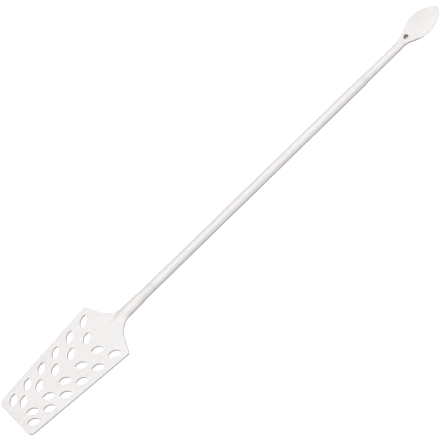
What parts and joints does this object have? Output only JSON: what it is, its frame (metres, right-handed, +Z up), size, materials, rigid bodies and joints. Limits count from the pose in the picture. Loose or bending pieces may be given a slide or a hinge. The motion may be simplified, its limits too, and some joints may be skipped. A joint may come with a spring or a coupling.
{
  "type": "stirring paddle",
  "caption": "Long hand stirring paddle with a flat perforated blade, a slim round shaft and a leaf-shaped grip with a hanging hole.",
  "frame": {"origin": "midway along the paddle's length, on its centre line, at the height of its lowest line, where the blade's neck touches a flat surface", "axes": "+X along the paddle from the blade's tip to the leaf's tip, +Y across the blade, +Z up, square to the blade"},
  "size_m": [0.6, 0.0744, 0.0115],
  "materials": {
    "white_plastic": "satin, as moulded",
    "rod_steel": "drawn bar with rolled threads",
    "insert_brass": "turned from hexagonal bar",
    "seal_rubber": "smooth moulded"
  },
  "bodies": {
    "root": {"paddle_blade": "white_plastic", "shaft_sleeve": "white_plastic", "leaf_grip": "white_plastic", "core_rod": "rod_steel", "blade_insert": "insert_brass", "grip_insert": "insert_brass", "blade_seal_ring": "seal_rubber", "grip_seal_ring": "seal_rubber"}
  },
  "joints": []
}
